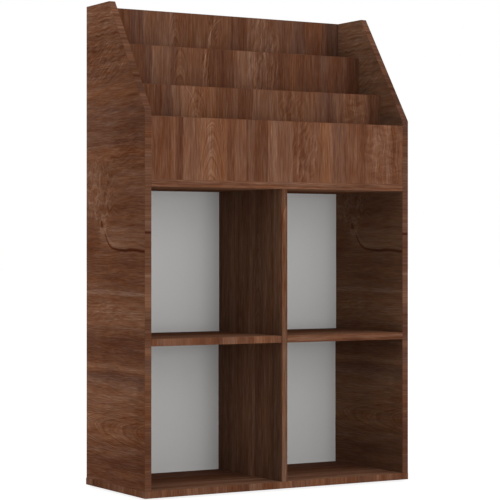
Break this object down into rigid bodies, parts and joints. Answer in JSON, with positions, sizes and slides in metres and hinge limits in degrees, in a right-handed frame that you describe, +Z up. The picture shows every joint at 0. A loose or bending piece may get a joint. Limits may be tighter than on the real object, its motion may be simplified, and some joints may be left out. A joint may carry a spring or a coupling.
{
  "type": "kids magazine rack",
  "caption": "Child's bookcase with open square cubbies below and stepped magazine pockets above, between side panels whose front edges slope back to the top.",
  "frame": {"origin": "on the floor, under the middle of the bottom panel's width and depth", "axes": "+Z up, +Y from the front to the back, +X to the right as seen from the front"},
  "size_m": [0.705, 0.3, 1.118],
  "materials": {
    "walnut_board": "walnut-decor melamine on chipboard, satin, with raw chipboard on edges that don't show",
    "walnut_edging": "thin walnut-decor plastic edging",
    "white_hardboard": "hardboard, white lacquer on the front and raw brown behind",
    "beech_dowel": "fluted beech",
    "zinc_cam": "die-cast zinc, nickel plated",
    "plated_bolt": "zinc-plated steel",
    "plated_screw": "zinc-plated steel",
    "dark_glide": "dark brown moulded plastic"
  },
  "bodies": {
    "root": {"left_side_panel": "walnut_board", "right_side_panel": "walnut_board", "bottom_panel": "walnut_board", "centre_divider": "walnut_board", "left_shelf": "walnut_board", "right_shelf": "walnut_board", "cubby_roof": "walnut_board", "front_pocket_panel": "walnut_board", "middle_pocket_panel": "walnut_board", "rear_pocket_panel": "walnut_board", "upper_back_panel": "walnut_board", "middle_pocket_floor": "walnut_board", "rear_pocket_floor": "walnut_board", "left_side_edging": "walnut_edging", "right_side_edging": "walnut_edging", "bottom_panel_edging": "walnut_edging", "divider_edging": "walnut_edging", "left_shelf_edging": "walnut_edging", "right_shelf_edging": "walnut_edging", "cubby_roof_edging": "walnut_edging", "front_pocket_panel_edging": "walnut_edging", "middle_pocket_panel_edging": "walnut_edging", "rear_pocket_panel_edging": "walnut_edging", "upper_back_panel_edging": "walnut_edging", "upper_back_sheet": "white_hardboard", "lower_back_sheet": "white_hardboard", "wooden_dowels": "beech_dowel", "cam_locks": "zinc_cam", "cam_bolts": "plated_bolt", "double_cam_bolts": "plated_bolt", "base_screws": "plated_screw", "floor_glides": "dark_glide"}
  },
  "joints": []
}
